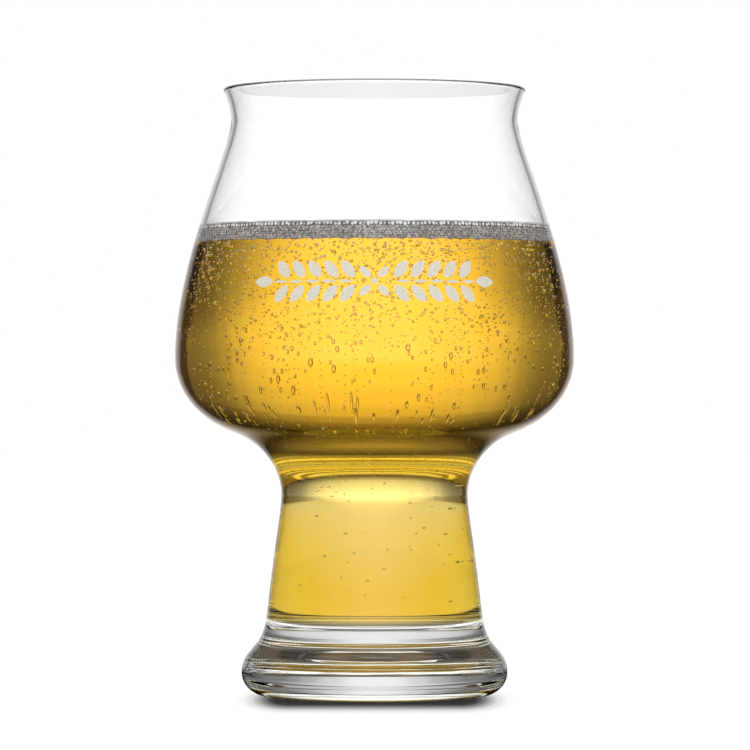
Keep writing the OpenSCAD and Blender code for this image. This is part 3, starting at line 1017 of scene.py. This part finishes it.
# Shade under the glass by distance, and what is mirrored: a panel by the share of a direction that points to
# the back, another by the share to the front, and how much of each the floor has by far distance
SHADE_STOPS = [(0.0, 0.05), (0.034, 0.05), (0.046, 1.0)]
BACK_STOPS = [(0.85, 0.03), (0.93, 0.55), (1.0, 0.85)]
BACK_FAR = [(0.03, 0.0), (0.06, 0.2), (0.09, 0.5), (0.14, 0.9), (0.20, 1.0)]
FRONT_STOPS = [(0.30, 0.0), (0.75, 0.60), (1.0, 1.20)]
FRONT_FAR = [(0.06, 0.0), (0.15, 0.15), (0.25, 0.50), (0.50, 0.85), (0.90, 1.0)]
# The shadow that the camera sees, by the distance from a dark bar that lies a little in front of the middle.
# How far in front, the bar's half length, and how much faster the shadow fades past its ends
SHADOW_STOPS = [
    (0.0, 0.03), (0.021, 0.04), (0.028, 0.17), (0.036, 0.43), (0.043, 0.75), (0.055, 0.96), (0.065, 1.0),
]
SHADOW_AHEAD, SHADOW_BAR, SHADOW_ENDS = 0.012, 0.0196, 4.5
# Least brightness through the empty bowl, and how white the floor is by its own light and by light on it
HOLLOW_WHITE = (1.25, 1.25, 1.25, 1)
SEEN_GLOW, SEEN_WHITE, FLOOR_WHITE = 0.90, (0.15, 0.15, 0.15, 1), (0.92, 0.92, 0.92, 1)
# The floor: its radius, its sides, its height just under the glass, and how rough it is
STAGE_R, STAGE_SIDES, STAGE_Z, STAGE_ROUGHNESS = 6.0, 96, -0.00002, 0.9
# The camera: how far off and how far to the right it stands, its height, the height that it looks at, its
# lens and sensor in millimetres, and how far it sees
CAMERA_OFF, CAMERA_RIGHT, CAMERA_H, CAMERA_AIM = 1.197, 0.00012, 0.0698, 0.0769
CAMERA_LENS, CAMERA_SENSOR, CAMERA_END = 240, 36, 50
LIGHT_BOUNCES = 32


def ray_kinds(tree):
    """Sockets that are 1 for a ray of a kind: seen straight by the camera, passed sharply through glass, of
    these through the empty bowl or through the drink, mirrored sharply, or spread by a dull surface in the
    drink."""
    path = tree.nodes.new("ShaderNodeLightPath")
    depth = path.outputs["Transmission Depth"]
    sharp = maths(tree, "LESS_THAN", path.outputs["Diffuse Depth"], SHARP_DEPTH)
    passed = maths(tree, "MULTIPLY", path.outputs["Is Transmission Ray"], sharp)
    wet = maths(tree, "GREATER_THAN", depth, DRINK_DEPTH)
    shiny = maths(tree, "MULTIPLY", path.outputs["Is Glossy Ray"], sharp)
    return {
        "seen": path.outputs["Is Camera Ray"],
        "passed": passed,
        "hollow": maths(tree, "MULTIPLY", passed, maths(tree, "COMPARE", depth, HOLLOW_DEPTH)),
        "drunk": maths(tree, "MULTIPLY", passed, wet),
        "mirrored": maths(tree, "SUBTRACT", shiny, passed),
        "spread": maths(tree, "MULTIPLY", wet, maths(tree, "SUBTRACT", 1.0, sharp)),
    }


def panels_round(tree, share, edge):
    """The light round about by the share of a direction ahead or behind: bright ahead from the edge on and
    at the sides, and dark between them."""
    ahead = maths(tree, "DIVIDE", maths(tree, "SUBTRACT", share, edge), PANEL_SOFT)
    lit = lighter(tree, ramp(tree, ahead, AHEAD_LIGHT), ramp(tree, share, SIDE_STOPS))
    return times(tree, ramp(tree, share, ROUND_STOPS), lit)


def floor_behind(tree, rays, x, y, distance):
    """What glass sees of the floor. Through the drink it is bright on a painted patch of light close by, far
    ahead, far behind and far to the sides; through the foot it is dim, with a bright patch close by; the
    empty bowl is white."""
    aside = maths(tree, "ABSOLUTE", x)
    angle = maths(tree, "DIVIDE", maths(tree, "ABSOLUTE", y), distance)
    far = maths(tree, "DIVIDE", distance, FAR_UNIT)
    ahead = ramp(tree, angle, AHEAD_STOPS)
    level = mixed(tree, "MIX", ahead, ramp(tree, far, FAR_SIDES), ramp(tree, far, FAR_AHEAD))
    drink = times(tree, panels_round(tree, angle, ramp(tree, far, PANEL_EDGES)), level)
    # A painted patch of light on the floor close under the glass
    drink = lighter(tree, drink, ramp(tree, aside, NEAR_PATCH_STOPS))
    drink = times(tree, drink, ramp(tree, distance, GOLD_STOPS))
    close = ramp(tree, distance, FOOT_REACH)
    foot = mixed(tree, "MIX", close, ramp(tree, angle, FOOT_ROUND), ramp(tree, aside, FOOT_STOPS))
    behind = mixed(tree, "MIX", rays["drunk"], foot, drink)
    behind = times(tree, behind, ramp(tree, distance, SHADE_STOPS))
    return mixed(tree, "LIGHTEN", rays["hollow"], behind, HOLLOW_WHITE)


def floor_shadow(tree, rays, x, y):
    """The soft shadow round the foot, for the camera alone: dark along a bar, fading with the distance from
    it."""
    past_end = maths(tree, "SUBTRACT", maths(tree, "ABSOLUTE", x), SHADOW_BAR)
    ends = maths(tree, "MULTIPLY", maths(tree, "MAXIMUM", past_end, 0.0), SHADOW_ENDS)
    from_bar = length_of(tree, ends, maths(tree, "ADD", y, SHADOW_AHEAD))
    return mixed(tree, "MIX", rays["seen"], WHITE, ramp(tree, from_bar, SHADOW_STOPS))


def floor_mirrored(tree, y, distance):
    """What is mirrored of the floor: a panel to the front and one to the back, fading close by."""
    far = maths(tree, "DIVIDE", distance, FAR_UNIT)
    to_back = maths(tree, "DIVIDE", y, distance)
    front = ramp(tree, maths(tree, "MULTIPLY", to_back, -1.0), FRONT_STOPS)
    front = times(tree, front, ramp(tree, far, FRONT_FAR))
    return lighter(tree, front, times(tree, ramp(tree, to_back, BACK_STOPS), ramp(tree, far, BACK_FAR)))


def floor_paint():
    """The floor's finish: white with a shadow to the camera, matte to dull surfaces, and its own light to
    glass and mirrors."""
    mat, tree, shader = new_material("floor")
    rays = ray_kinds(tree)
    x, y, _ = own_axes(tree, "Object")
    distance = length_of(tree, x, y)
    shadow = floor_shadow(tree, rays, x, y)
    matte = times(tree, mixed(tree, "MIX", rays["seen"], FLOOR_WHITE, SEEN_WHITE), shadow)
    glassy = maths(tree, "ADD", rays["passed"], rays["mirrored"])
    tree.links.new(mixed(tree, "MIX", glassy, matte, BLACK), shader.inputs["Base Color"])
    shader.inputs["Roughness"].default_value = STAGE_ROUGHNESS
    shader.inputs["Specular IOR Level"].default_value = 0.0
    glow = mixed(tree, "MIX", rays["passed"], shadow, floor_behind(tree, rays, x, y, distance))
    glow = mixed(tree, "MIX", rays["mirrored"], glow, floor_mirrored(tree, y, distance))
    tree.links.new(glow, shader.inputs["Emission Color"])
    strength = maths(tree, "ADD", glassy, maths(tree, "MULTIPLY", rays["seen"], SEEN_GLOW))
    tree.links.new(strength, shader.inputs["Emission Strength"])
    return mat


def make_floor():
    """A wide round floor just under the glass: a circle of points with one face."""
    a = np.arange(STAGE_SIDES) * TAU / STAGE_SIDES
    verts = np.column_stack([STAGE_R * np.cos(a), STAGE_R * np.sin(a), np.full(STAGE_SIDES, STAGE_Z)])
    mesh = bpy.data.meshes.new("floor")
    mesh.from_pydata(verts.tolist(), [], [list(range(STAGE_SIDES))])
    mesh.materials.append(floor_paint())
    floor = bpy.data.objects.new("floor", mesh)
    bpy.context.scene.collection.objects.link(floor)


def make_studio():
    """White all round for the camera, and dimmer at the sides for dull surfaces. Through the drink glass
    sees bright panels ahead, behind and at the sides, with dark between them and a dim ceiling; through the
    foot it sees dim ones with golden glints above, and it mirrors one panel in front and one behind."""
    world = bpy.data.worlds.new("studio")
    bpy.context.scene.world = world
    world.use_nodes = True
    tree = world.node_tree
    back = next(n for n in tree.nodes if n.type == "BACKGROUND")
    rays = ray_kinds(tree)
    x, y, z = own_axes(tree, "Generated")
    angle = maths(tree, "DIVIDE", maths(tree, "ABSOLUTE", y), length_of(tree, x, y))
    drink = times(tree, panels_round(tree, angle, PANEL_FAR_EDGE), ramp(tree, z, HEIGHT_STOPS))
    glints = ramp(tree, z, GLINT_STOPS)
    foot = mixed(tree, "MIX", glints, ramp(tree, angle, FOOT_ROUND), ramp(tree, angle, FOOT_GLINTS))
    panels = mixed(tree, "MIX", rays["drunk"], foot, drink)
    panels = lighter(tree, panels, ramp(tree, z, CEILING_STOPS))
    panels = mixed(tree, "LIGHTEN", rays["hollow"], panels, HOLLOW_WHITE)
    dull = mixed(tree, "MIX", rays["spread"], ramp(tree, angle, DULL_STOPS), DRINK_GLOW)
    view = mixed(tree, "MIX", rays["seen"], dull, WHITE)
    view = mixed(tree, "MIX", rays["passed"], view, panels)
    front = ramp(tree, maths(tree, "MULTIPLY", y, -1.0), FRONT_STOPS)
    mirrored = lighter(tree, front, ramp(tree, y, BACK_STOPS))
    tree.links.new(mixed(tree, "MIX", rays["mirrored"], view, mirrored), back.inputs["Color"])
    back.inputs["Strength"].default_value = 1.0


def make_camera():
    """Long lens at about half the height of the glass, looking very slightly up."""
    data = bpy.data.cameras.new("camera")
    data.sensor_width = CAMERA_SENSOR
    data.lens = CAMERA_LENS
    data.clip_end = CAMERA_END
    camera = bpy.data.objects.new("camera", data)
    bpy.context.scene.collection.objects.link(camera)
    camera.location = (CAMERA_RIGHT, -CAMERA_OFF, CAMERA_H)
    camera.rotation_euler = (math.pi / 2 + math.atan2(CAMERA_AIM - CAMERA_H, CAMERA_OFF), 0, 0)
    bpy.context.scene.camera = camera


make_camera()
make_glass()
make_cider()
make_foam()
make_print()
make_floor()
make_studio()

scene = bpy.context.scene
scene.view_settings.view_transform = "Standard"
scene.cycles.max_bounces = LIGHT_BOUNCES
scene.cycles.transmission_bounces = LIGHT_BOUNCES
scene.cycles.glossy_bounces = LIGHT_BOUNCES
